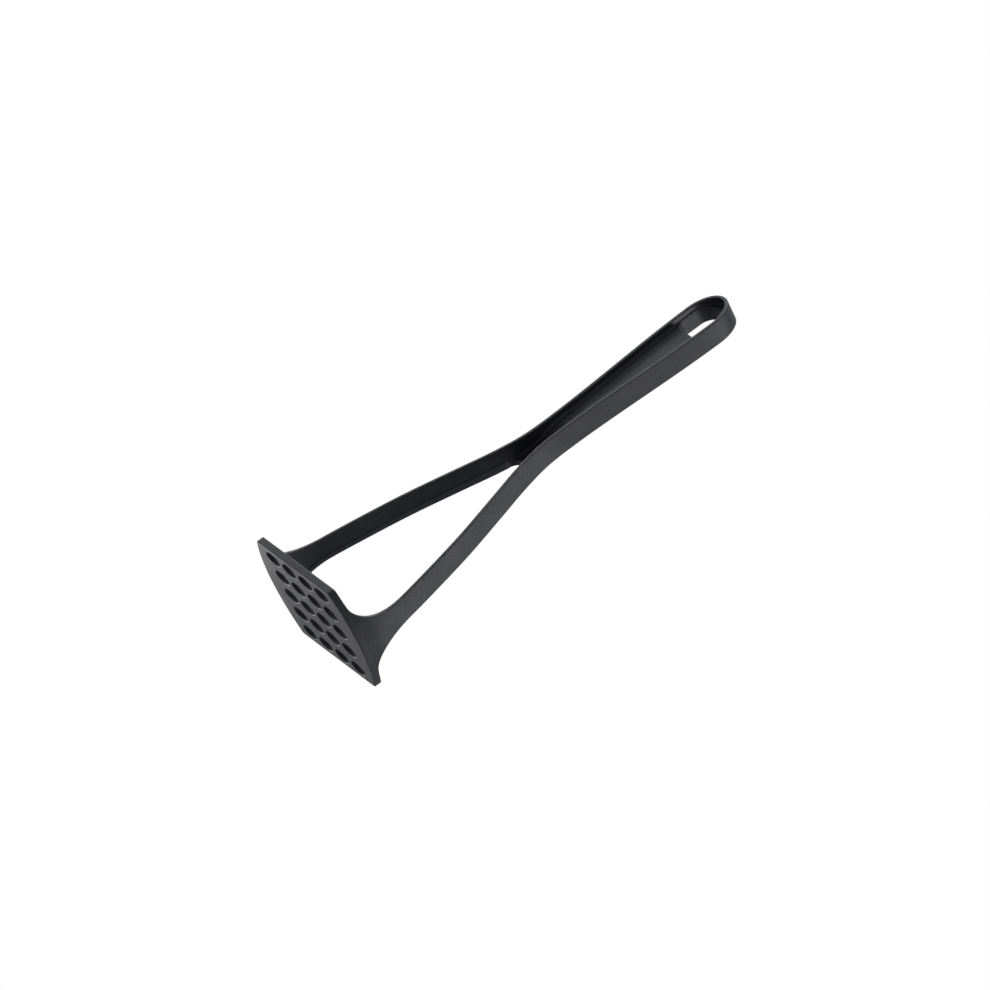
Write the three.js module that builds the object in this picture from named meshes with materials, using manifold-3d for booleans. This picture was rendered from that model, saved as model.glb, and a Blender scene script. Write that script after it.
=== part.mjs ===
// Potato masher moulded in one shot from black glass-filled nylon: a perforated mashing plate, two
// flared feet, two ribbon legs, a yoke where the legs join, a tray-shaped grip and a hanging end.
// Each of these members is a solid of its own, and neighbours meet face to face on level planes.
//
// Millimetres. Z runs up the handle from the mashing face, X runs across the legs and Y comes out
// of the open side of the tray. The object is symmetric about X = 0.

import * as THREE from 'three';
import { mergeVertices } from 'three/addons/utils/BufferGeometryUtils.js';
import Module from 'manifold-3d';

// Overall sizes
const LENGTH = 280;
const PLATE_HALF_WIDTH = 37.2;
const PLATE_HALF_DEPTH = 33.7;
const PLATE_BOW = 8.6;
const PLATE_THICKNESS = 4.3;
const PLATE_CORNER_RADIUS = 1.6;

// Holes of the mashing plate: the webs between them, and the margins left along the plate's edges
const HOLE_COLUMNS = 4;
const HOLE_ROWS = 5;
const HOLE_WEB_X = 3.3;
const HOLE_WEB_Y = 5.3;
const HOLE_MARGIN_X = 5.75;
const HOLE_MARGIN_Y = 3.3;

// Ribbon section: a wall along the outside and a floor along the back, joined by a cove. Where the
// floor is cut away, a narrow ledge of it stays along the wall. The floor is thin at the feet,
// thickens up to the crotch and ramps up in the yoke, so that the grip's recess is shallow.
const RIBBON_HALF_DEPTH = 6.6;
const WALL = 2.1;
const LEDGE = 0.4;
const COVE_RADIUS = 1.5;
const FOOT_FLOOR = 1.9;
const CROTCH_FLOOR = 3.8;
const GRIP_RECESS = 4;

// Heights of the members, each measured from the mashing face
const FOOT_TOP = 34;
const LEG_TOP = 118;
const CROTCH_HEIGHT = 140;
const GRIP_BASE = 160;
const WAIST_HEIGHT = 163;
const FLOOR_RAMP_TOP = 172;

// Drops from the tip: where the grip ends, where the hanging hole starts and where the handle is
// at its widest
const HANGING_END_DROP = 34;
const HANG_HOLE_DROP = 28;
const FULL_WIDTH_DROP = 18;

// Half widths of the handle, and the rounded shapes at the crotch and at the tip
const WAIST_HALF_WIDTH = 8.3;
const GRIP_HALF_WIDTH = 12.8;
const TIP_ROUND_HEIGHT = 17;
const CROTCH_ROUND_HEIGHT = 6.5;
const HANG_HOLE_TOP_WALL = 6.2;
const HANG_HOLE_ROUND_HEIGHT = 9.2;
const HANG_HOLE_CORNER_RADIUS = 5;

// Foot flare: the half depth of the foot where it leaves the plate, and the reach of its curve
const FLARE_HALF_DEPTH = 23.8;
const FLARE_HEIGHT = 30;
const FLARE_FLAT_PULL = 8.5;
const FLARE_UPRIGHT_PULL = 20;

// Course of a leg: how much of its sideways spread is left at each share of its rise
const LEG_COURSE = [
  [0, 1], [0.06, 0.996], [0.16, 0.93], [0.29, 0.803], [0.48, 0.584],
  [0.67, 0.312], [0.79, 0.138], [0.9, 0.024], [1, 0],
];

// Mesh density
const RING_STEP = 6;
const FLARE_RINGS = 12;
const FACE_STEPS = 6;
const COVE_STEPS = 4;
const CURVE_STEPS = 20;
const HOLE_STEPS = 16;

// How far a cutting body runs past what it cuts
const CUT_MARGIN = 5;

const GRIP_TOP = LENGTH - HANGING_END_DROP;
const HANG_HOLE_BASE = LENGTH - HANG_HOLE_DROP;
const FULL_WIDTH_HEIGHT = LENGTH - FULL_WIDTH_DROP;
const GRIP_FLOOR = 2 * RIBBON_HALF_DEPTH - GRIP_RECESS;
const PLATE_CREST = PLATE_HALF_WIDTH + PLATE_BOW;
const BOW_RADIUS = (PLATE_HALF_DEPTH ** 2 + PLATE_BOW ** 2) / (2 * PLATE_BOW);

const wasm = await Module();
wasm.setup();

// Smooth curve through hand-set pairs, read at any place between the first and the last
function alongCourse(pairs, place) {
  const last = pairs.length - 2;
  const found = pairs.findIndex((pair, i) => i > 0 && place <= pair[0]);
  const i = found < 0 ? last : Math.min(found - 1, last);
  const slopeAt = (k) => {
    if (k === 0 || k === pairs.length - 1) return 0;
    return (pairs[k + 1][1] - pairs[k - 1][1]) / (pairs[k + 1][0] - pairs[k - 1][0]);
  };
  const span = pairs[i + 1][0] - pairs[i][0];
  const t = THREE.MathUtils.clamp((place - pairs[i][0]) / span, 0, 1);
  const rise = t * t * (3 - 2 * t);
  const startSlope = slopeAt(i) * span * (t ** 3 - 2 * t ** 2 + t);
  const endSlope = slopeAt(i + 1) * span * (t ** 3 - t ** 2);
  return pairs[i][1] * (1 - rise) + pairs[i + 1][1] * rise + startSlope + endSlope;
}

// Half width of the outline at height z, taken at mid depth
function halfWidth(z) {
  if (z <= WAIST_HEIGHT) {
    const share = (z - PLATE_THICKNESS) / (WAIST_HEIGHT - PLATE_THICKNESS);
    const spread = alongCourse(LEG_COURSE, Math.max(share, 0));
    return WAIST_HALF_WIDTH + (PLATE_CREST - WAIST_HALF_WIDTH) * spread;
  }
  const share = THREE.MathUtils.smoothstep(z, WAIST_HEIGHT, FULL_WIDTH_HEIGHT);
  return WAIST_HALF_WIDTH + (GRIP_HALF_WIDTH - WAIST_HALF_WIDTH) * share;
}

// The wall leans with the outline, so its width across a level section grows with the lean
function leanFactor(z) {
  const step = 0.5;
  const slope = (halfWidth(z + step) - halfWidth(z - step)) / (2 * step);
  return Math.hypot(1, slope);
}

const flareCurve = new THREE.CubicBezierCurve(
  new THREE.Vector2(FLARE_HALF_DEPTH, PLATE_THICKNESS),
  new THREE.Vector2(FLARE_HALF_DEPTH - FLARE_FLAT_PULL, PLATE_THICKNESS),
  new THREE.Vector2(RIBBON_HALF_DEPTH, PLATE_THICKNESS + FLARE_HEIGHT - FLARE_UPRIGHT_PULL),
  new THREE.Vector2(RIBBON_HALF_DEPTH, PLATE_THICKNESS + FLARE_HEIGHT),
);

// Outer face of a foot or leg: it carries the bow of the plate's edge, which fades out up the leg
function bowSag(y, z) {
  const fade = 1 - THREE.MathUtils.smoothstep(z, FOOT_TOP, LEG_TOP);
  return (BOW_RADIUS - Math.sqrt(BOW_RADIUS ** 2 - y ** 2)) * fade;
}

function floorThickness(z) {
  const upLeg = THREE.MathUtils.smoothstep(z, FOOT_TOP, CROTCH_HEIGHT);
  const upYoke = THREE.MathUtils.smoothstep(z, CROTCH_HEIGHT, FLOOR_RAMP_TOP);
  const legFloor = THREE.MathUtils.lerp(FOOT_FLOOR, CROTCH_FLOOR, upLeg);
  return THREE.MathUtils.lerp(legFloor, GRIP_FLOOR, upYoke);
}

// Level section of the tray at height z, as one loop of points
function trayRing(z, halfDepth) {
  const outer = (y) => halfWidth(z) - bowSag(y, z);
  const wall = WALL * leanFactor(z);
  const coveTop = -halfDepth + floorThickness(z) + COVE_RADIUS;
  const half = [];
  for (let i = 0; i <= FACE_STEPS; i += 1) {
    const y = -halfDepth + (2 * halfDepth * i) / FACE_STEPS;
    half.push([outer(y), y]);
  }
  for (let i = 0; i < FACE_STEPS; i += 1) {
    const y = halfDepth + ((coveTop - halfDepth) * i) / FACE_STEPS;
    half.push([outer(y) - wall, y]);
  }
  for (let i = 0; i <= COVE_STEPS; i += 1) {
    const turn = (Math.PI / 2) * (i / COVE_STEPS);
    const inset = wall + COVE_RADIUS * (1 - Math.cos(turn));
    half.push([outer(coveTop) - inset, coveTop - COVE_RADIUS * Math.sin(turn)]);
  }
  const right = half.map(([x, y]) => new THREE.Vector3(x, y, z));
  const left = half.map(([x, y]) => new THREE.Vector3(-x, y, z)).reverse();
  return right.concat(left);
}

// Closed solid through a stack of rings with equal numbers of points
function loft(rings) {
  const count = rings[0].length;
  const positions = rings.flat().flatMap((point) => [point.x, point.y, point.z]);
  const faces = [];
  for (let r = 0; r < rings.length - 1; r += 1) {
    for (let i = 0; i < count; i += 1) {
      const a = r * count + i;
      const b = r * count + ((i + 1) % count);
      faces.push([a, b, b + count], [a, b + count, a + count]);
    }
  }
  const cap = THREE.ShapeUtils.triangulateShape(rings[0].map((p) => new THREE.Vector2(p.x, p.y)), []);
  const top = (rings.length - 1) * count;
  cap.forEach(([a, b, c]) => faces.push([a, c, b], [top + a, top + b, top + c]));
  const geometry = new THREE.BufferGeometry();
  geometry.setAttribute('position', new THREE.Float32BufferAttribute(positions, 3));
  geometry.setIndex(faces.flat());
  return geometry;
}

// A flat outline in X and Z, extruded along Y from y0 to y1
function extrudeAcross(shape, y0, y1, options = {}) {
  const settings = { depth: y1 - y0, bevelEnabled: false, ...options };
  const geometry = new THREE.ExtrudeGeometry(shape, settings);
  geometry.rotateX(Math.PI / 2);
  geometry.translate(0, y1, 0);
  return geometry;
}

function toSolid(geometry) {
  const bare = geometry.clone();
  bare.deleteAttribute('normal');
  bare.deleteAttribute('uv');
  const merged = mergeVertices(bare, 1e-4);
  return new wasm.Manifold(new wasm.Mesh({
    numProp: 3,
    vertProperties: Float32Array.from(merged.attributes.position.array),
    triVerts: Uint32Array.from(merged.index.array),
  }));
}

function toGeometry(solid) {
  const mesh = solid.getMesh();
  const geometry = new THREE.BufferGeometry();
  geometry.setAttribute('position', new THREE.BufferAttribute(mesh.vertProperties, 3));
  geometry.setIndex(new THREE.BufferAttribute(mesh.triVerts, 1));
  return geometry;
}

function block(x0, x1, z0, z1) {
  const depth = 2 * (PLATE_HALF_DEPTH + CUT_MARGIN);
  const geometry = new THREE.BoxGeometry(x1 - x0, depth, z1 - z0);
  geometry.translate((x0 + x1) / 2, 0, (z0 + z1) / 2);
  return toSolid(geometry);
}

// A quarter of an ellipse round the tray's axis, from its side at height z0 up to its crown
function crownPoints(halfSpan, z0, rise, steps) {
  const points = [];
  for (let i = 0; i <= steps; i += 1) {
    const turn = (Math.PI / 2) * (i / steps);
    points.push(new THREE.Vector2(halfSpan * Math.cos(turn), z0 + rise * Math.sin(turn)));
  }
  return points;
}

function mirroredShape(rightSide) {
  const leftSide = rightSide.map((p) => new THREE.Vector2(-p.x, p.y)).reverse();
  const inner = rightSide[rightSide.length - 1].x < 1e-9 ? leftSide.slice(1) : leftSide;
  return new THREE.Shape(rightSide.concat(inner));
}

function ringHeights() {
  const heights = [];
  for (let i = 0; i <= FLARE_RINGS; i += 1) heights.push(flareCurve.getPoint(i / FLARE_RINGS));
  const flareTop = PLATE_THICKNESS + FLARE_HEIGHT;
  const count = Math.ceil((GRIP_TOP - flareTop) / RING_STEP);
  for (let i = 1; i <= count; i += 1) {
    const z = flareTop + ((GRIP_TOP - flareTop) * i) / count;
    heights.push(new THREE.Vector2(RIBBON_HALF_DEPTH, z));
  }
  return heights;
}

function flareHalfDepth(z) {
  const points = flareCurve.getPoints(FLARE_RINGS);
  const above = points.findIndex((p) => p.y >= z);
  if (above < 0) return RIBBON_HALF_DEPTH;
  if (above === 0) return FLARE_HALF_DEPTH;
  const share = (z - points[above - 1].y) / (points[above].y - points[above - 1].y);
  return THREE.MathUtils.lerp(points[above - 1].x, points[above].x, share);
}

// The gap between the legs, up to the rounded crotch
function crotchOpening() {
  const roundBase = CROTCH_HEIGHT - CROTCH_ROUND_HEIGHT;
  const edge = (z) => {
    const face = halfWidth(z) - bowSag(flareHalfDepth(z), z);
    return face - (WALL + LEDGE) * leanFactor(z);
  };
  const side = [new THREE.Vector2(edge(PLATE_THICKNESS), PLATE_THICKNESS - CUT_MARGIN)];
  for (let i = 0; i <= CURVE_STEPS; i += 1) {
    const z = THREE.MathUtils.lerp(PLATE_THICKNESS, roundBase, i / CURVE_STEPS);
    side.push(new THREE.Vector2(edge(z), z));
  }
  const crown = crownPoints(edge(roundBase), roundBase, CROTCH_ROUND_HEIGHT, HOLE_STEPS / 2);
  return mirroredShape(side.concat(crown.slice(1)));
}

// The hanging hole: a flat lower edge with rounded corners, and a crown that follows the tip
function hangHole() {
  const halfSpan = GRIP_HALF_WIDTH - WALL - LEDGE;
  const corner = HANG_HOLE_CORNER_RADIUS;
  const side = [];
  for (let i = 0; i <= COVE_STEPS; i += 1) {
    const turn = (Math.PI / 2) * (i / COVE_STEPS);
    const x = halfSpan - corner + corner * Math.sin(turn);
    side.push(new THREE.Vector2(x, HANG_HOLE_BASE + corner - corner * Math.cos(turn)));
  }
  const crown = LENGTH - HANG_HOLE_TOP_WALL - HANG_HOLE_ROUND_HEIGHT;
  return mirroredShape(side.concat(crownPoints(halfSpan, crown, HANG_HOLE_ROUND_HEIGHT, HOLE_STEPS / 2)));
}

// Outline of the hanging end, drawn in from the outer face by an inset
function endOutline(inset, base) {
  const roundBase = LENGTH - TIP_ROUND_HEIGHT;
  const side = [];
  for (let i = 0; i < COVE_STEPS; i += 1) {
    const z = THREE.MathUtils.lerp(base, roundBase, i / COVE_STEPS);
    side.push(new THREE.Vector2(halfWidth(z) - inset, z));
  }
  const crown = crownPoints(halfWidth(roundBase) - inset, roundBase, TIP_ROUND_HEIGHT - inset, HOLE_STEPS);
  return mirroredShape(side.concat(crown));
}

function platePerimeter() {
  const arcHalf = Math.asin(PLATE_HALF_DEPTH / BOW_RADIUS);
  const reach = PLATE_CORNER_RADIUS / BOW_RADIUS;
  const points = [];
  for (let i = 0; i <= CURVE_STEPS; i += 1) {
    const turn = THREE.MathUtils.lerp(-arcHalf + reach, arcHalf - reach, i / CURVE_STEPS);
    const x = PLATE_CREST - BOW_RADIUS * (1 - Math.cos(turn));
    points.push(new THREE.Vector2(x, BOW_RADIUS * Math.sin(turn)));
  }
  const shape = new THREE.Shape(points);
  const cornerX = PLATE_HALF_WIDTH;
  const flat = cornerX - PLATE_CORNER_RADIUS;
  shape.quadraticCurveTo(cornerX, PLATE_HALF_DEPTH, flat, PLATE_HALF_DEPTH);
  shape.lineTo(-flat, PLATE_HALF_DEPTH);
  shape.quadraticCurveTo(-cornerX, PLATE_HALF_DEPTH, -points[CURVE_STEPS].x, points[CURVE_STEPS].y);
  for (let i = CURVE_STEPS - 1; i >= 0; i -= 1) shape.lineTo(-points[i].x, points[i].y);
  shape.quadraticCurveTo(-cornerX, -PLATE_HALF_DEPTH, -flat, -PLATE_HALF_DEPTH);
  shape.lineTo(flat, -PLATE_HALF_DEPTH);
  shape.quadraticCurveTo(cornerX, -PLATE_HALF_DEPTH, points[0].x, points[0].y);
  return shape;
}

// The holes share out what the margins and the webs leave of the plate
function mashingPlate() {
  const shape = platePerimeter();
  const pitchX = (2 * (PLATE_HALF_WIDTH - HOLE_MARGIN_X) + HOLE_WEB_X) / HOLE_COLUMNS;
  const pitchY = (2 * (PLATE_HALF_DEPTH - HOLE_MARGIN_Y) + HOLE_WEB_Y) / HOLE_ROWS;
  const halfLength = (pitchX - HOLE_WEB_X) / 2;
  const halfBreadth = (pitchY - HOLE_WEB_Y) / 2;
  for (let row = 0; row < HOLE_ROWS; row += 1) {
    for (let column = 0; column < HOLE_COLUMNS; column += 1) {
      const x = (column - (HOLE_COLUMNS - 1) / 2) * pitchX;
      const y = (row - (HOLE_ROWS - 1) / 2) * pitchY;
      const hole = new THREE.Path();
      hole.absellipse(x, y, halfLength, halfBreadth, 0, 2 * Math.PI, true);
      shape.holes.push(new THREE.Path(hole.getPoints(HOLE_STEPS)));
    }
  }
  return toSolid(new THREE.ExtrudeGeometry(shape, {
    depth: PLATE_THICKNESS,
    bevelEnabled: false,
    curveSegments: 3,
  }));
}

function hangingEnd() {
  const blank = toSolid(extrudeAcross(
    endOutline(0, GRIP_TOP),
    -RIBBON_HALF_DEPTH,
    RIBBON_HALF_DEPTH,
  ));
  const pocketBase = GRIP_TOP - CUT_MARGIN;
  const pocket = toSolid(extrudeAcross(
    endOutline(WALL, pocketBase),
    RIBBON_HALF_DEPTH - GRIP_RECESS + COVE_RADIUS,
    RIBBON_HALF_DEPTH + CUT_MARGIN,
    {
      bevelEnabled: true,
      bevelThickness: COVE_RADIUS,
      bevelSize: COVE_RADIUS,
      bevelOffset: -COVE_RADIUS,
      bevelSegments: COVE_STEPS,
    },
  ));
  const hole = toSolid(extrudeAcross(hangHole(), -LENGTH, LENGTH));
  return blank.subtract(pocket).subtract(hole);
}

const tray = toSolid(loft(ringHeights().map((p) => trayRing(p.y, p.x))))
  .subtract(toSolid(extrudeAcross(crotchOpening(), -LENGTH, LENGTH)));
const reach = Math.max(PLATE_CREST, GRIP_HALF_WIDTH) + CUT_MARGIN;
const below = PLATE_THICKNESS - CUT_MARGIN;
const above = GRIP_TOP + CUT_MARGIN;

const members = {
  mashing_plate: mashingPlate(),
  left_foot: tray.intersect(block(-reach, 0, below, FOOT_TOP)),
  right_foot: tray.intersect(block(0, reach, below, FOOT_TOP)),
  left_leg: tray.intersect(block(-reach, 0, FOOT_TOP, LEG_TOP)),
  right_leg: tray.intersect(block(0, reach, FOOT_TOP, LEG_TOP)),
  yoke: tray.intersect(block(-reach, reach, LEG_TOP, GRIP_BASE)),
  grip: tray.intersect(block(-reach, reach, GRIP_BASE, above)),
  hanging_end: hangingEnd(),
};

const masher = new THREE.Group();
Object.entries(members).forEach(([name, solid]) => {
  const material = new THREE.MeshStandardMaterial({ color: 0x2a2c2f, roughness: 0.5, metalness: 0 });
  const mesh = new THREE.Mesh(toGeometry(solid), material);
  mesh.name = name;
  masher.add(mesh);
});

export default masher;
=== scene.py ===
import math

import bmesh
import bpy
import numpy as np
from mathutils import Matrix, Vector


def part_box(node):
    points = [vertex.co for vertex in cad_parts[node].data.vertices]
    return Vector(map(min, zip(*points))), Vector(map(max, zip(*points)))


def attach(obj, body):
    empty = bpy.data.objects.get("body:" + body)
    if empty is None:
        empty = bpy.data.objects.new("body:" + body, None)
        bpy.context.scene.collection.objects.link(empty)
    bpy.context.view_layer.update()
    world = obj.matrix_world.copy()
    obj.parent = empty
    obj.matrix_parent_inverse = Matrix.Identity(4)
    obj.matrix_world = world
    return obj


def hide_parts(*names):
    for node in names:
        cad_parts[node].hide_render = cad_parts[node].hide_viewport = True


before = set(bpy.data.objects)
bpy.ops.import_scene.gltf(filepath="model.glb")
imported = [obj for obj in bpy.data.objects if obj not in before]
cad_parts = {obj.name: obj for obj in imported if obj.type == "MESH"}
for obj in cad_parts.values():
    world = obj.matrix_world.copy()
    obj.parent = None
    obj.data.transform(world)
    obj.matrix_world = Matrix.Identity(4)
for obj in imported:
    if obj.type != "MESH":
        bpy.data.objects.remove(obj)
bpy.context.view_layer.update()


# ---------------------------------------------------------------------------------------------
# The mashing plate: the flat perforated end of the moulding, in black glass-filled nylon. Two of
# its edges are bowed, its oval holes are cored by pins in the mould, and every edge that the
# mould doesn't part on carries a small radius.

mm = 0.001
plate_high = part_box("mashing_plate")[1]
plate_top = plate_high.z
plate_crest = plate_high.x
plate_half_depth = plate_high.y
plate_bow = 8.6 * mm
plate_half_width = plate_crest - plate_bow
plate_corner = 1.6 * mm
bow_radius = (plate_half_depth ** 2 + plate_bow ** 2) / (2 * plate_bow)

plate_edge_round = 0.5 * mm
under_foot_round = 0.02 * mm
beside_foot_reach = 1.5 * mm
foot_half_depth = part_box("left_foot")[1].y

hole_columns, hole_rows = 4, 5
hole_web_x, hole_web_y = 3.3 * mm, 5.3 * mm
hole_margin_x, hole_margin_y = 5.75 * mm, 3.3 * mm
hole_edge_round = 0.45 * mm

bow_points, corner_points, straight_points, hole_points = 40, 9, 8, 44
round_steps = 5
same_point = 0.001 * mm
textured, polished = 0, 1


def smoothstep(value, low, high):
    """From 0 to 1 with soft ends while the value goes from low to high."""
    share = min(max((value - low) / (high - low), 0), 1)
    return share * share * (3 - 2 * share)


def lerp(start, end, share):
    """The place at a share of the way between two numbers or points."""
    return start + (end - start) * share


def plate_outline():
    """Points of the plate's edge with their outward directions, once round."""
    half_turn = math.asin(plate_half_depth / bow_radius) - plate_corner / bow_radius
    bowed = []
    for turn in np.linspace(0, half_turn, bow_points):
        x = plate_crest - bow_radius * (1 - math.cos(turn))
        bowed.append(((x, bow_radius * math.sin(turn)), (math.cos(turn), math.sin(turn))))
    start = np.array(bowed[-1][0])
    corner = np.array((plate_half_width, plate_half_depth))
    end = np.array((plate_half_width - plate_corner, plate_half_depth))
    turned = []
    for share in np.linspace(0, 1, corner_points)[1:]:
        point = (1 - share) ** 2 * start + 2 * share * (1 - share) * corner + share ** 2 * end
        along = (1 - share) * (corner - start) + share * (end - corner)
        out = np.array((along[1], -along[0])) / np.hypot(*along)
        turned.append((tuple(point), tuple(out)))
    straight = [((x, plate_half_depth), (0, 1)) for x in np.linspace(end[0], 0, straight_points)[1:]]
    quarter = bowed + turned + straight
    outline = []
    for flip_x, flip_y, order in ((1, 1, 1), (-1, 1, -1), (-1, -1, 1), (1, -1, -1)):
        for (x, y), (out_x, out_y) in quarter[::order]:
            entry = ((x * flip_x, y * flip_y), (out_x * flip_x, out_y * flip_y))
            if not outline or math.dist(entry[0], outline[-1][0]) > same_point:
                outline.append(entry)
    return outline[:-1]


def hole_outline(centre_x, centre_y, half_length, half_breadth):
    """Points of one oval hole with the directions that point out of the plastic."""
    outline = []
    for turn in np.linspace(0, -2 * math.pi, hole_points, endpoint=False):
        point = (centre_x + half_length * math.cos(turn), centre_y + half_breadth * math.sin(turn))
        out = np.array((-math.cos(turn) / half_length, -math.sin(turn) / half_breadth))
        out /= np.hypot(*out)
        outline.append((point, tuple(out)))
    return outline


def edge_rings(outline, top_round, bottom_round):
    """Rings of points and directions from the rounded top edge down to the rounded lower one."""
    rings = []
    for step in range(round_steps + 1):
        turn = math.pi / 2 * (1 - step / round_steps)
        ring = []
        for (x, y), (out_x, out_y) in outline:
            size = top_round(x, y)
            back = size * (1 - math.cos(turn))
            place = (x - out_x * back, y - out_y * back, plate_top - size * (1 - math.sin(turn)))
            ring.append((place, (out_x * math.cos(turn), out_y * math.cos(turn), math.sin(turn))))
        rings.append(ring)
    for step in range(round_steps + 1):
        turn = math.pi / 2 * step / round_steps
        ring = []
        for (x, y), (out_x, out_y) in outline:
            back = bottom_round * (1 - math.cos(turn))
            place = (x - out_x * back, y - out_y * back, bottom_round * (1 - math.sin(turn)))
            ring.append((place, (out_x * math.cos(turn), out_y * math.cos(turn), -math.sin(turn))))
        rings.append(ring)
    return rings


def outer_top_round(x, y):
    """Radius of the plate's upper edge, which fades out where a foot stands on it."""
    on_bow = smoothstep(abs(x), plate_half_width - 2 * plate_corner, plate_half_width)
    beside_foot = smoothstep(
        abs(y), foot_half_depth - beside_foot_reach, foot_half_depth + beside_foot_reach
    )
    return lerp(plate_edge_round, lerp(under_foot_round, plate_edge_round, beside_foot), on_bow)


def build_plate():
    """The plate as one closed mesh: textured all over, with polished walls in its holes."""
    pitch_x = (2 * (plate_half_width - hole_margin_x) + hole_web_x) / hole_columns
    pitch_y = (2 * (plate_half_depth - hole_margin_y) + hole_web_y) / hole_rows
    edges = [(textured, edge_rings(plate_outline(), outer_top_round, plate_edge_round))]
    for row in range(hole_rows):
        for column in range(hole_columns):
            outline = hole_outline(
                (column - (hole_columns - 1) / 2) * pitch_x,
                (row - (hole_rows - 1) / 2) * pitch_y,
                (pitch_x - hole_web_x) / 2,
                (pitch_y - hole_web_y) / 2,
            )
            edges.append((polished, edge_rings(outline, lambda x, y: hole_edge_round, hole_edge_round)))
    form = bmesh.new()
    directions = []
    top_loops, bottom_loops = [], []
    for finish, rings in edges:
        corners = []
        for ring in rings:
            corners.append([form.verts.new(place) for place, _ in ring])
            directions += [direction for _, direction in ring]
        count = len(rings[0])
        for upper, lower in zip(corners, corners[1:]):
            for i in range(count):
                after = (i + 1) % count
                face = form.faces.new((upper[i], lower[i], lower[after], upper[after]))
                face.material_index = finish
        for loops, loop in ((top_loops, corners[0]), (bottom_loops, corners[-1])):
            loops += [form.edges.get((loop[i], loop[(i + 1) % count])) for i in range(count)]
    bmesh.ops.triangle_fill(form, edges=top_loops, use_beauty=True, normal=(0, 0, 1))
    bmesh.ops.triangle_fill(form, edges=bottom_loops, use_beauty=True, normal=(0, 0, -1))
    mesh = bpy.data.meshes.new("mashing_plate_nylon")
    form.to_mesh(mesh)
    form.free()
    mesh.shade_smooth()
    mesh.normals_split_custom_set_from_vertices(directions)
    piece = bpy.data.objects.new(mesh.name, mesh)
    bpy.context.scene.collection.objects.link(piece)
    return piece


def effect_group(name, inputs, outputs):
    """An empty node group with float inputs and their defaults, and named outputs."""
    group = bpy.data.node_groups.new(name, "ShaderNodeTree")
    for label, value in inputs.items():
        socket = group.interface.new_socket(label, in_out="INPUT", socket_type="NodeSocketFloat")
        socket.default_value = value
    for label in outputs:
        group.interface.new_socket(label, in_out="OUTPUT", socket_type="NodeSocketFloat")
    return group, group.nodes.new("NodeGroupInput"), group.nodes.new("NodeGroupOutput")


def new_math(tree, operation, first, second):
    """A maths node between two sockets or numbers, as its result's socket."""
    node = tree.nodes.new("ShaderNodeMath")
    node.operation = operation
    for socket, value in zip(node.inputs, (first, second)):
        if isinstance(value, (int, float)):
            socket.default_value = value
        else:
            tree.links.new(value, socket)
    return node.outputs[0]


def new_range(tree, value, source, target=(0, 1), smooth=False):
    """A value carried from one range to another, as its result's socket."""
    node = tree.nodes.new("ShaderNodeMapRange")
    if smooth:
        node.interpolation_type = "SMOOTHSTEP"
    labels = ("From Min", "From Max", "To Min", "To Max")
    for label, number in zip(labels, (*source, *target)):
        node.inputs[label].default_value = number
    tree.links.new(value, node.inputs["Value"])
    return node.outputs["Result"]


def new_noise(tree, vector, scale, detail, roughness=0.5):
    """Noise over a vector, at a scale that is a number or a socket."""
    node = tree.nodes.new("ShaderNodeTexNoise")
    node.inputs["Detail"].default_value = detail
    node.inputs["Roughness"].default_value = roughness
    tree.links.new(vector, node.inputs["Vector"])
    if isinstance(scale, (int, float)):
        node.inputs["Scale"].default_value = scale
    else:
        tree.links.new(scale, node.inputs["Scale"])
    return node.outputs["Fac"]


# Spark-eroded texture that the mould prints on the plastic: fine pits on a slightly uneven ground
ground_scale, ground_share = 0.3, 0.6
spark_texture, given, result = effect_group("spark_texture", {"Grains per metre": 1500}, ("Height",))
object_place = spark_texture.nodes.new("ShaderNodeTexCoord").outputs["Object"]
grain_scale = given.outputs["Grains per metre"]
grains = new_noise(spark_texture, object_place, grain_scale, detail=4, roughness=0.65)
coarser = new_math(spark_texture, "MULTIPLY", grain_scale, ground_scale)
ground = new_noise(spark_texture, object_place, coarser, detail=2)
relief = new_math(spark_texture, "ADD", new_math(spark_texture, "MULTIPLY", ground, ground_share), grains)
spark_texture.links.new(relief, result.inputs["Height"])

# Flow marks: long faint streaks and clouds that the melt leaves as it runs up the handle
streaks_per_metre, clouds_per_metre = 420, 45
flow_marks, given, result = effect_group("flow_marks", {"Stretch": 0.12}, ("Streak", "Cloud"))
links = flow_marks.links
object_place = flow_marks.nodes.new("ShaderNodeTexCoord").outputs["Object"]
along = flow_marks.nodes.new("ShaderNodeSeparateXYZ")
links.new(object_place, along.inputs[0])
stretched = flow_marks.nodes.new("ShaderNodeCombineXYZ")
links.new(along.outputs["X"], stretched.inputs["X"])
links.new(along.outputs["Y"], stretched.inputs["Y"])
slowed = new_math(flow_marks, "MULTIPLY", along.outputs["Z"], given.outputs["Stretch"])
links.new(slowed, stretched.inputs["Z"])
streaks = new_noise(flow_marks, stretched.outputs[0], streaks_per_metre, detail=2)
clouds = new_noise(flow_marks, object_place, clouds_per_metre, detail=3)
links.new(streaks, result.inputs["Streak"])
links.new(clouds, result.inputs["Cloud"])

nylon_ior = 1.53
cloud_share = 0.4
tone_range = (0.7, 1.1)
cloud_range = (0.3, 0.7)


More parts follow.
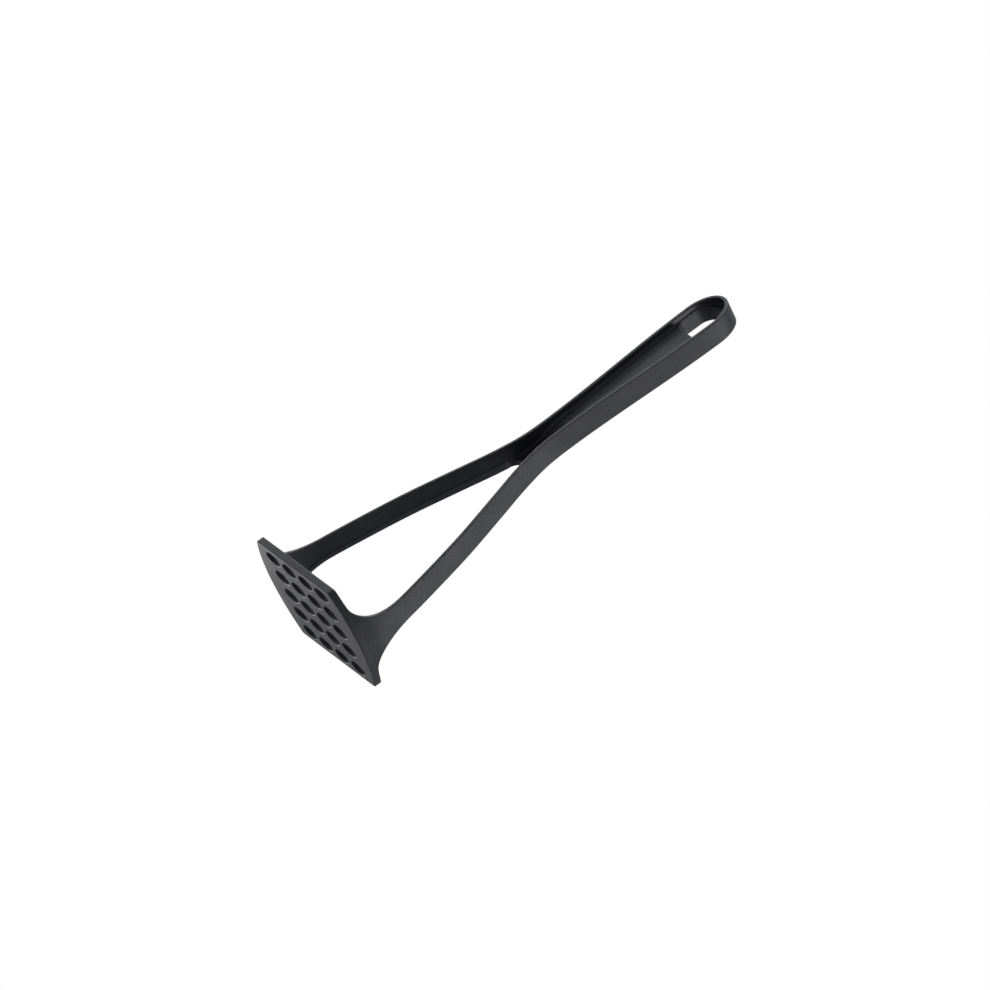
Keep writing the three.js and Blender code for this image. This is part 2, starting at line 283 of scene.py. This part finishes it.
def nylon_finish(name, tones, roughness, grain_size, grain_depth, streak_share):
    """Black nylon between two tones and two roughnesses, with the mould's texture in relief."""
    material = bpy.data.materials.new(name)
    material.use_nodes = True
    tree = material.node_tree
    shader = tree.nodes["Principled BSDF"]
    shader.inputs["IOR"].default_value = nylon_ior
    texture = tree.nodes.new("ShaderNodeGroup")
    texture.node_tree = spark_texture
    texture.inputs["Grains per metre"].default_value = 1 / grain_size
    flow = tree.nodes.new("ShaderNodeGroup")
    flow.node_tree = flow_marks
    marks = new_math(tree, "MULTIPLY", flow.outputs["Streak"], streak_share)
    clouds = new_math(tree, "MULTIPLY", flow.outputs["Cloud"], cloud_share)
    speckle = new_math(tree, "MULTIPLY", texture.outputs["Height"], 1 - streak_share)
    amount = new_math(tree, "ADD", new_math(tree, "ADD", marks, clouds), speckle)
    blend = tree.nodes.new("ShaderNodeMix")
    blend.data_type = "RGBA"
    factor, dark, light = (blend.inputs[k] for k in (0, 6, 7))
    dark.default_value = (*tones[0], 1)
    light.default_value = (*tones[1], 1)
    tree.links.new(new_range(tree, amount, tone_range), factor)
    tree.links.new(blend.outputs[2], shader.inputs["Base Color"])
    rough = new_range(tree, flow.outputs["Cloud"], cloud_range, roughness)
    tree.links.new(rough, shader.inputs["Roughness"])
    bump = tree.nodes.new("ShaderNodeBump")
    bump.inputs["Distance"].default_value = grain_depth
    bump.inputs["Strength"].default_value = 1
    tree.links.new(texture.outputs["Height"], bump.inputs["Height"])
    tree.links.new(bump.outputs["Normal"], shader.inputs["Normal"])
    return material


textured_nylon = nylon_finish(
    "textured_nylon",
    tones=((0.032, 0.034, 0.043), (0.064, 0.067, 0.083)),
    roughness=(0.42, 0.54),
    grain_size=0.65 * mm,
    grain_depth=0.05 * mm,
    streak_share=0.2,
)
polished_nylon = nylon_finish(
    "polished_nylon",
    tones=((0.036, 0.038, 0.045), (0.060, 0.063, 0.072)),
    roughness=(0.26, 0.4),
    grain_size=0.7 * mm,
    grain_depth=0.006 * mm,
    streak_share=0.7,
)

plate = build_plate()
plate.data.materials.append(textured_nylon)
plate.data.materials.append(polished_nylon)
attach(plate, "root")
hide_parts("mashing_plate")


# ---------------------------------------------------------------------------------------------
# The two feet: flared ends of the legs, moulded in one with the plate and flush with its bowed
# edges. Each is a bowed wall with a narrow lip of floor along its back, and its outline sweeps
# from the plate into the upright leg.

foot_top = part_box("left_foot")[1].z
leg_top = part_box("left_leg")[1].z
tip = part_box("hanging_end")[1].z
ribbon_half_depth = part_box("grip")[1].y

wall = 2.1 * mm
ledge = 0.4 * mm
cove = 1.5 * mm
foot_floor = 1.9 * mm
crotch_floor = 3.8 * mm
grip_floor = 2 * ribbon_half_depth - 4 * mm
crotch_height = 140 * mm
floor_ramp_top = 172 * mm

waist_height = 163 * mm
waist_half_width = 8.3 * mm
grip_half_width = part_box("hanging_end")[1].x
full_width_height = tip - 18 * mm
leg_course = (
    (0, 1), (0.06, 0.996), (0.16, 0.93), (0.29, 0.803), (0.48, 0.584),
    (0.67, 0.312), (0.79, 0.138), (0.9, 0.024), (1, 0),
)

flare_height = 30 * mm
flare_flat_pull = 8.5 * mm
flare_upright_pull = 20 * mm
flare_points = 45

outer_round = 0.5 * mm
rim_round = 0.5 * mm
lip_round = 0.4 * mm

back_columns, face_columns, wall_columns, floor_columns, lip_columns = 5, 12, 6, 18, 4
outer_steps, rim_steps = 4, 6
open_crowding, closed_crowding = 1.8, 1.4


def leg_spread(share):
    """How much of a leg's sideways spread is left at a share of its rise: a smooth curve."""
    last = len(leg_course) - 2
    i = next((k for k in range(last + 1) if share <= leg_course[k + 1][0]), last)

    def slope(k):
        if k in (0, last + 1):
            return 0
        (x0, y0), (x1, y1) = leg_course[k - 1], leg_course[k + 1]
        return (y1 - y0) / (x1 - x0)

    (x0, y0), (x1, y1) = leg_course[i], leg_course[i + 1]
    span = x1 - x0
    t = min(max((share - x0) / span, 0), 1)
    rise = t * t * (3 - 2 * t)
    bend = slope(i) * (t ** 3 - 2 * t ** 2 + t) + slope(i + 1) * (t ** 3 - t ** 2)
    return lerp(y0, y1, rise) + span * bend


def half_width(z):
    """Half the masher's width outside, at a height."""
    if z <= waist_height:
        share = max((z - plate_top) / (waist_height - plate_top), 0)
        return waist_half_width + (plate_crest - waist_half_width) * leg_spread(share)
    return lerp(waist_half_width, grip_half_width, smoothstep(z, waist_height, full_width_height))


def lean(z):
    """How much wider a wall is across a level cut than square to itself."""
    step = 0.5 * mm
    return math.hypot(1, (half_width(z + step) - half_width(z - step)) / (2 * step))


def bow_sag(y, z):
    """How far a wall falls back from its crest to follow the plate's bow, which the legs lose."""
    fade = 1 - smoothstep(z, foot_top, leg_top)
    return (bow_radius - math.sqrt(bow_radius ** 2 - y ** 2)) * fade


def floor_thickness(z):
    """Thickness of the tray's floor: thin at the feet, and ramped up to the grip's recess."""
    leg_floor = lerp(foot_floor, crotch_floor, smoothstep(z, foot_top, crotch_height))
    return lerp(leg_floor, grip_floor, smoothstep(z, crotch_height, floor_ramp_top))


def floor_height(past_wall, level):
    """Height of the tray's inside at a distance past the foot of its wall."""
    short = max(cove - max(past_wall, 0), 0)
    return level + cove - math.sqrt(cove ** 2 - short ** 2)


def rounded(start, corner, end, steps):
    """Points round a corner, from the start of the radius to its end."""
    start, corner, end = (np.array(p, float) for p in (start, corner, end))
    shares = np.linspace(0, 1, steps + 1)
    return [(1 - t) ** 2 * start + 2 * t * (1 - t) * corner + t * t * end for t in shares]


def tray_row(place, half_depth, level, back_start, inner):
    """One row of points: along the back, round the outside and over the rim, down the wall and
    then on through the inner points."""
    back_end = np.array(place(outer_round, -half_depth))
    row = [lerp(np.array(back_start), back_end, k / back_columns) for k in range(back_columns)]
    face_end = half_depth - outer_round
    rim_foot = half_depth - rim_round
    section = rounded((outer_round, -half_depth), (0, -half_depth), (0, -face_end), outer_steps)
    section += [(0, y) for y in np.linspace(-face_end, face_end, face_columns + 1)[1:-1]]
    section += rounded((0, face_end), (0, half_depth), (outer_round, half_depth), outer_steps)
    section.append(((outer_round + wall - rim_round) / 2, half_depth))
    section += rounded((wall - rim_round, half_depth), (wall, half_depth), (wall, rim_foot), rim_steps)
    section += [(wall, y) for y in np.linspace(rim_foot, level + cove, wall_columns + 1)[1:]]
    row += [np.array(place(inset, y)) for inset, y in section]
    return row + [np.array(point) for point in inner]


def lip_edge(start, edge_at, lip_top, crease, half_depth, back_start):
    """Points over the floor's cut edge: its rounded top, its face and its rounded foot."""
    below = edge_at(lip_top - crease)
    foot = edge_at(lip_round - half_depth)
    points = rounded(start, edge_at(lip_top), below, lip_columns)[1:]
    for k in range(1, lip_columns):
        points.append(lerp(np.array(below), np.array(foot), k / lip_columns))
    return points + rounded(foot, edge_at(-half_depth), back_start, lip_columns)[:-1]


def leg_row(z, half_depth):
    """A level row of a foot or leg, closed by the cut edge of its floor."""
    width, across = half_width(z), lean(z)
    level = floor_thickness(z) - half_depth

    def place(inset, y):
        return width - bow_sag(y, z) - inset * across, y, z

    edge = wall + ledge
    crease = ledge / 2
    inner = []
    for k in range(1, floor_columns + 1):
        inset = wall + (ledge - crease) * (k / floor_columns) ** open_crowding
        inner.append(place(inset, floor_height(inset - wall, level)))
    back_start = place(edge - lip_round, -half_depth)
    lip_top = floor_height(ledge, level)
    inner += lip_edge(inner[-1], lambda y: place(edge, y), lip_top, crease, half_depth, back_start)
    return tray_row(place, half_depth, level, back_start, inner)


# Where a row passes from the outer face to the rim, and from the wall to the floor
rim_start = back_columns + 2 * (outer_steps + 1) + face_columns
floor_start = rim_start + rim_steps + 1 + wall_columns
closed_columns = floor_start + floor_columns
middle_tolerance = 0.0001 * mm


def moulded_piece(name, rows, side, joins_below, joins_above):
    """A closed mesh through rows of points on the right half, mirrored for the left one.

    side is 1, -1 or 0 for both. A row that belongs to the neighbour at an end is only there for
    the shading, so that no seam shows between the members of the one moulding. Rows that the
    floor closes have closed_columns points, and those that an opening cuts run on round it."""
    index, points = [], []
    for row in rows:
        index.append(range(len(points), len(points) + len(row)))
        points += row
    skin = []
    last = len(rows) - 2
    for r, (low, high) in enumerate(zip(index, index[1:])):
        ring = len(low) == len(high) > closed_columns
        neighbour = (r == 0 and joins_below) or (r == last and joins_above)
        for c in range(len(low) if ring else closed_columns - 1):
            after = (c + 1) % len(low)
            finish = polished if rim_start <= c < closed_columns else textured
            corners = (low[c], low[after], high[after], high[c])
            skin.append((corners, finish, neighbour))
    places = np.array(points)
    count = len(places)
    flipped = places * (-1, 1, 1)
    on_plane = np.abs(places[:, 0]) < middle_tolerance
    partner = np.where(on_plane, np.arange(count), np.arange(count) + count)
    places = {1: places, -1: flipped, 0: np.vstack((places, flipped))}[side]

    def turned(corners):
        corners = corners[::-1]
        return tuple(partner[c] for c in corners) if side == 0 else tuple(corners)

    faces = [] if side == -1 else list(skin)
    if side < 1:
        faces += [(turned(corners), finish, neighbour) for corners, finish, neighbour in skin]
    directions = np.zeros_like(places)
    for corners, _, _ in faces:
        a, b, c, d = (places[k] for k in corners)
        np.add.at(directions, list(corners), np.cross(c - a, d - b))
    lengths = np.linalg.norm(directions, axis=1, keepdims=True)
    directions /= np.where(lengths > 0, lengths, 1)

    polygons, finishes, normals = [], [], []
    for corners, finish, neighbour in faces:
        if not neighbour:
            polygons.append(corners)
            finishes.append(finish)
            normals += [directions[k] for k in corners]
    ends = [(index[1 if joins_below else 0], -1), (index[-2 if joins_above else -1], 1)]
    for row, way in ends:
        if np.all(on_plane[list(row)]):
            continue
        loop = tuple(row)
        if side == 0 and len(row) == closed_columns:
            loops = [loop + turned(loop)[1:-1]]
        else:
            loops = ([] if side == -1 else [loop]) + ([] if side == 1 else [turned(loop)])
        for cap in loops:
            polygons.append(cap[::way])
            finishes.append(textured)
            normals += [np.array((0, 0, way))] * len(cap)

    used = sorted({k for corners in polygons for k in corners})
    renumber = {k: i for i, k in enumerate(used)}
    mesh = bpy.data.meshes.new(name)
    mesh.from_pydata(places[used], [], [[renumber[k] for k in corners] for corners in polygons])
    mesh.shade_smooth()
    mesh.polygons.foreach_set("material_index", finishes)
    mesh.normals_split_custom_set(normals)
    piece = bpy.data.objects.new(name, mesh)
    bpy.context.scene.collection.objects.link(piece)
    return piece


def flare(share):
    """Half depth and height of the foot's outline: flat on the plate, upright at the leg."""
    pulled = foot_half_depth - flare_flat_pull
    depths = (foot_half_depth, pulled, ribbon_half_depth, ribbon_half_depth)
    rise = flare_height - flare_upright_pull
    heights = (plate_top, plate_top, plate_top + rise, plate_top + flare_height)
    weights = ((1 - share) ** 3, 3 * share * (1 - share) ** 2, 3 * share ** 2 * (1 - share), share ** 3)
    return np.dot(weights, depths), np.dot(weights, heights)


row_step = 2 * mm
flare_outline = [flare(share) for share in np.linspace(0, 1, flare_points)]
foot_rows = [leg_row(z, depth) for depth, z in flare_outline if z < foot_top]
foot_rows.append(leg_row(foot_top, ribbon_half_depth))
first_leg_row = leg_row(foot_top + row_step, ribbon_half_depth)
feet = [
    moulded_piece("left_foot_nylon", foot_rows + [first_leg_row], -1, False, True),
    moulded_piece("right_foot_nylon", foot_rows + [first_leg_row], 1, False, True),
]
for foot, node in zip(feet, ("left_foot", "right_foot")):
    foot.data.materials.append(textured_nylon)
    foot.data.materials.append(polished_nylon)
    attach(foot, "root")
    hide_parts(node)


# ---------------------------------------------------------------------------------------------
# The two legs: curved ribbons of the same shot of nylon. Each is a wall on the outside with a
# narrow lip of floor along its back, which thickens up to the yoke.

leg_heights = np.arange(foot_top, leg_top + row_step / 2, row_step)
leg_rows = [leg_row(z, ribbon_half_depth) for z in leg_heights]
yoke_start_row = leg_row(leg_top + row_step, ribbon_half_depth)
joined_leg_rows = [foot_rows[-2]] + leg_rows + [yoke_start_row]
legs = [
    moulded_piece("left_leg_nylon", joined_leg_rows, -1, True, True),
    moulded_piece("right_leg_nylon", joined_leg_rows, 1, True, True),
]
for leg, node in zip(legs, ("left_leg", "right_leg")):
    leg.data.materials.append(textured_nylon)
    leg.data.materials.append(polished_nylon)
    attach(leg, "root")
    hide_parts(node)


# ---------------------------------------------------------------------------------------------
# The yoke: where the two legs run together into the handle's tray, in one with both. The gap
# between them ends in a rounded crotch, where the floor's cut edge is lightly radiused, and from
# there the floor ramps up towards the grip.

crotch_round_height = 6.5 * mm
crotch_base = crotch_height - crotch_round_height
grip_base, grip_top = (corner.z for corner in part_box("grip"))
crotch_half_width = half_width(crotch_base) - (wall + ledge) * lean(crotch_base)
fan_height = 12 * mm
full_crease = 0.45 * mm
fan_rows, yoke_top_rows, grip_row_count = 25, 9, 45


def inside_height(x, z):
    """Height of the tray's inside over a place in the yoke or the handle."""
    past_wall = (half_width(z) - x) / lean(z) - wall
    return floor_height(past_wall, floor_thickness(z) - ribbon_half_depth)


def level_place(z):
    """The function that turns an inset and a depth into a point of the level row at z."""
    width, across = half_width(z), lean(z)
    return lambda inset, y: (width - inset * across, y, z)


def across_floor(foot, end, crowding):
    """Places in X and Z over the floor, from the foot of the wall on, crowded towards the wall."""
    return [lerp(foot, end, (k / floor_columns) ** crowding) for k in range(1, floor_columns + 1)]


def opened_row(place, z, edge, into, height):
    """A row whose floor ends in the cut edge of an opening: at edge, a point in X and Z, with
    into pointing into the plastic. z is the height of the row's wall."""
    depth = ribbon_half_depth
    edge, into = np.array(edge, float), np.array(into, float)
    into /= np.hypot(*into)
    foot = np.array(place(wall, 0))[[0, 2]]
    crease = min(full_crease, np.hypot(*(foot - edge)) / 2)
    floor_places = across_floor(foot, edge + into * crease, open_crowding)
    inner = [(x, height(x, at), at) for x, at in floor_places]
    back = edge + into * lip_round
    back_start = (back[0], -depth, back[1])
    inner += lip_edge(
        inner[-1], lambda y: (edge[0], y, edge[1]), height(*edge), crease, depth, back_start
    )
    return tray_row(place, depth, floor_thickness(z) - depth, back_start, inner)


def side_row(z, edge, into):
    """An opened row with its wall level at z."""
    return opened_row(level_place(z), z, edge, into, inside_height)


def closed_row(z, middle):
    """A row whose floor runs to the middle of the handle, at the height that is given there."""
    place = level_place(z)
    foot = np.array(place(wall, 0))[[0, 2]]
    floor_places = across_floor(foot, np.array((0, middle)), closed_crowding)
    inner = [(x, inside_height(x, at), at) for x, at in floor_places]
    back_start = (0, -ribbon_half_depth, middle)
    level = floor_thickness(z) - ribbon_half_depth
    return tray_row(place, ribbon_half_depth, level, back_start, inner)


yoke_rows = [leg_row(z, ribbon_half_depth) for z in np.arange(leg_top, crotch_base, row_step)]
for turn in np.linspace(0, math.pi / 2, fan_rows):
    z = crotch_base + fan_height * turn / (math.pi / 2)
    across, up = round(math.cos(turn), 9), math.sin(turn)
    edge = (crotch_half_width * across, crotch_base + crotch_round_height * up)
    into = (across / crotch_half_width, up / crotch_round_height)
    yoke_rows.append(side_row(z, edge, into))
fan_top = crotch_base + fan_height
for share in np.linspace(0, 1, yoke_top_rows)[1:]:
    yoke_rows.append(closed_row(
        lerp(fan_top, grip_base, share),
        lerp(crotch_height + full_crease, grip_base, share),
    ))
grip_rows = [closed_row(z, z) for z in np.linspace(grip_base, grip_top, grip_row_count)]
yoke = moulded_piece("yoke_nylon", [leg_rows[-2]] + yoke_rows + [grip_rows[1]], 0, True, True)
yoke.data.materials.append(textured_nylon)
yoke.data.materials.append(polished_nylon)
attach(yoke, "root")
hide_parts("yoke")


# ---------------------------------------------------------------------------------------------
# The grip: a long open tray that widens towards the hand, with a rim on both sides of a shallow
# recess and a small cove down to its floor. The mould is polished on the inside and textured on
# the outside.

end_start_rise, end_start_middle = 0.9 * mm, 1.6 * mm
end_start_row = closed_row(grip_top + end_start_rise, grip_top + end_start_middle)
grip = moulded_piece("grip_nylon", [yoke_rows[-2]] + grip_rows + [end_start_row], 0, True, True)
grip.data.materials.append(textured_nylon)
grip.data.materials.append(polished_nylon)
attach(grip, "root")
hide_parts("grip")


# ---------------------------------------------------------------------------------------------
# The hanging end: the rounded tip of the tray, pierced by the hole that the masher hangs from,
# which a core in the mould leaves open. The rim runs round the tip in one piece.

tip_round_height = 17 * mm
tip_round_base = tip - tip_round_height
hole_base = tip - 28 * mm
hole_round_height = 9.2 * mm
hole_round_base = tip - 6.2 * mm - hole_round_height
hole_corner = 5 * mm
hole_half_width = grip_half_width - wall - ledge
flat_end = hole_half_width - hole_corner
corner_top = hole_base + hole_corner

closed_rise, opened_rise = 3.6 * mm, 3.8 * mm
flat_rows, corner_rows, straight_rows, crown_rows = 9, 15, 6, 31

end_rows = [grip_rows[-1], end_start_row]
for share in (0.5, 0.75, 1):
    middle = lerp(grip_top, hole_base - full_crease, share)
    end_rows.append(closed_row(grip_top + closed_rise * share, middle))
for share in np.linspace(0, 1, flat_rows):
    z = lerp(grip_top + opened_rise, hole_base, share)
    end_rows.append(side_row(z, (flat_end * share, hole_base), (0, -1)))
for share in np.linspace(0, 1, corner_rows)[1:]:
    turn = math.pi / 2 * share
    into = (math.sin(turn), -math.cos(turn))
    edge = (flat_end + hole_corner * into[0], corner_top + hole_corner * into[1])
    end_rows.append(side_row(lerp(hole_base, corner_top, share), edge, into))
for share in np.linspace(0, 1, straight_rows)[1:-1]:
    edge = (hole_half_width, lerp(corner_top, hole_round_base, share))
    end_rows.append(side_row(lerp(corner_top, tip_round_base, share), edge, (1, 0)))


def crown_row(turn):
    """A row round the tip: wall and hole edge both follow the turn."""
    across, up = round(math.cos(turn), 9), math.sin(turn)
    width = half_width(tip_round_base)

    def place(inset, y):
        return (width - inset) * across, y, tip_round_base + (tip_round_height - inset) * up

    square = np.array((across / width, up / tip_round_height))
    square /= np.hypot(*square)
    foot = np.array(place(wall, 0))[[0, 2]]

    def height(x, z):
        return floor_height(np.dot(foot - (x, z), square), grip_floor - ribbon_half_depth)

    edge = (hole_half_width * across, hole_round_base + hole_round_height * up)
    into = (across / hole_half_width, up / hole_round_height)
    return opened_row(place, tip_round_base, edge, into, height)


end_rows += [crown_row(turn) for turn in np.linspace(0, math.pi / 2, crown_rows)]
hanging_end = moulded_piece("hanging_end_nylon", [grip_rows[-2]] + end_rows, 0, True, False)
hanging_end.data.materials.append(textured_nylon)
hanging_end.data.materials.append(polished_nylon)
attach(hanging_end, "root")
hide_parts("hanging_end")


# ---------------------------------------------------------------------------------------------
# The studio: a white backdrop that lights the masher from the far side, a dimmer room on the near
# side, and five softboxes. The masher stands on a pale sheet of paper, which only shows from above
# and fades into the backdrop.

camera_azimuth, camera_elevation, camera_roll = 232.60, -14.15, 53.31
lens, sensor = 400, 36
view_width = 0.5180
aim = Vector((-24.39, 10.98, 109.36)) * mm


def direction(azimuth, elevation):
    """Unit vector from the object: azimuth 0 is towards -Y and 90 towards +X, in degrees."""
    a, e = math.radians(azimuth), math.radians(elevation)
    return Vector((math.sin(a) * math.cos(e), -math.cos(a) * math.cos(e), math.sin(e)))


towards_camera = direction(camera_azimuth, camera_elevation)
level_right = Vector((0, 0, 1)).cross(towards_camera).normalized()
upright = towards_camera.cross(level_right)
roll = math.radians(camera_roll)
right = level_right * math.cos(roll) + upright * math.sin(roll)
up = towards_camera.cross(right)
camera_data = bpy.data.cameras.new("view_camera")
camera_data.lens = lens
camera_data.sensor_width = sensor
camera = bpy.data.objects.new("view_camera", camera_data)
bpy.context.scene.collection.objects.link(camera)
camera.matrix_world = Matrix((right, up, towards_camera)).transposed().to_4x4()
camera.location = aim + towards_camera * view_width * lens / sensor
bpy.context.scene.camera = camera

backdrop_reach = (0.12, 0.95)
room_strength = (0.11, 0.65)
world = bpy.data.worlds.new("studio")
world.use_nodes = True
bpy.context.scene.world = world
tree = world.node_tree
tree.nodes.clear()
way = tree.nodes.new("ShaderNodeVectorMath")
way.operation = "DOT_PRODUCT"
way.inputs[1].default_value = -towards_camera
tree.links.new(tree.nodes.new("ShaderNodeTexCoord").outputs["Generated"], way.inputs[0])
glow = new_range(tree, way.outputs["Value"], backdrop_reach, room_strength, smooth=True)
room = tree.nodes.new("ShaderNodeBackground")
tree.links.new(glow, room.inputs["Strength"])
backdrop = tree.nodes.new("ShaderNodeBackground")
backdrop.inputs["Color"].default_value = (1, 1, 1, 1)
seen = tree.nodes.new("ShaderNodeMixShader")
tree.links.new(tree.nodes.new("ShaderNodeLightPath").outputs["Is Camera Ray"], seen.inputs["Fac"])
tree.links.new(room.outputs[0], seen.inputs[1])
tree.links.new(backdrop.outputs[0], seen.inputs[2])
tree.links.new(seen.outputs[0], tree.nodes.new("ShaderNodeOutputWorld").inputs["Surface"])


def soft_lamp(name, azimuth, elevation, size, watts, distance=1.2, focus_height=tip / 2):
    """A round softbox that faces the handle's axis from a distance."""
    data = bpy.data.lights.new(name, "AREA")
    data.shape = "DISK"
    data.size = size
    data.energy = watts
    lamp = bpy.data.objects.new(name, data)
    way = direction(azimuth, elevation)
    lamp.location = Vector((0, 0, focus_height)) + way * distance
    lamp.rotation_euler = way.to_track_quat("Z", "Y").to_euler()
    bpy.context.scene.collection.objects.link(lamp)


soft_lamp("key_softbox", azimuth=312, elevation=28, size=1.0, watts=4.7)
soft_lamp("fill_softbox", azimuth=235, elevation=20, size=1.2, watts=0.9)
soft_lamp("top_softbox", azimuth=140, elevation=55, size=0.8, watts=10)
soft_lamp("side_softbox", azimuth=103, elevation=14, size=0.8, watts=3.2)
soft_lamp("low_softbox", azimuth=80, elevation=-25, size=0.22, watts=0.4, distance=0.35, focus_height=0)

floor_half_size = 3
paper_reach = (0.12, 0.75)
floor_mesh = bpy.data.meshes.new("floor")
corners = [(x, y, 0) for x, y in ((-1, -1), (1, -1), (1, 1), (-1, 1))]
floor_mesh.from_pydata(np.array(corners) * floor_half_size, [], [(0, 1, 2, 3)])
floor = bpy.data.objects.new("floor", floor_mesh)
bpy.context.scene.collection.objects.link(floor)
floor_finish = bpy.data.materials.new("floor_paper")
floor_finish.use_nodes = True
tree = floor_finish.node_tree
tree.nodes.clear()
paper = tree.nodes.new("ShaderNodeBsdfDiffuse")
paper.inputs["Color"].default_value = (0.82, 0.82, 0.82, 1)
white = tree.nodes.new("ShaderNodeEmission")
clear = tree.nodes.new("ShaderNodeBsdfTransparent")
surface = tree.nodes.new("ShaderNodeNewGeometry")
reach = tree.nodes.new("ShaderNodeVectorMath")
reach.operation = "LENGTH"
tree.links.new(surface.outputs["Position"], reach.inputs[0])
sheet = tree.nodes.new("ShaderNodeMixShader")
tree.links.new(new_range(tree, reach.outputs["Value"], paper_reach, smooth=True), sheet.inputs["Fac"])
tree.links.new(paper.outputs[0], sheet.inputs[1])
tree.links.new(white.outputs[0], sheet.inputs[2])
from_above = new_math(tree, "SUBTRACT", 1, surface.outputs["Backfacing"])
camera_ray = tree.nodes.new("ShaderNodeLightPath").outputs["Is Camera Ray"]
shown = tree.nodes.new("ShaderNodeMixShader")
tree.links.new(new_math(tree, "MULTIPLY", from_above, camera_ray), shown.inputs["Fac"])
tree.links.new(clear.outputs[0], shown.inputs[1])
tree.links.new(sheet.outputs[0], shown.inputs[2])
tree.links.new(shown.outputs[0], tree.nodes.new("ShaderNodeOutputMaterial").inputs["Surface"])
floor_mesh.materials.append(floor_finish)

bpy.context.scene.view_settings.view_transform = "Standard"
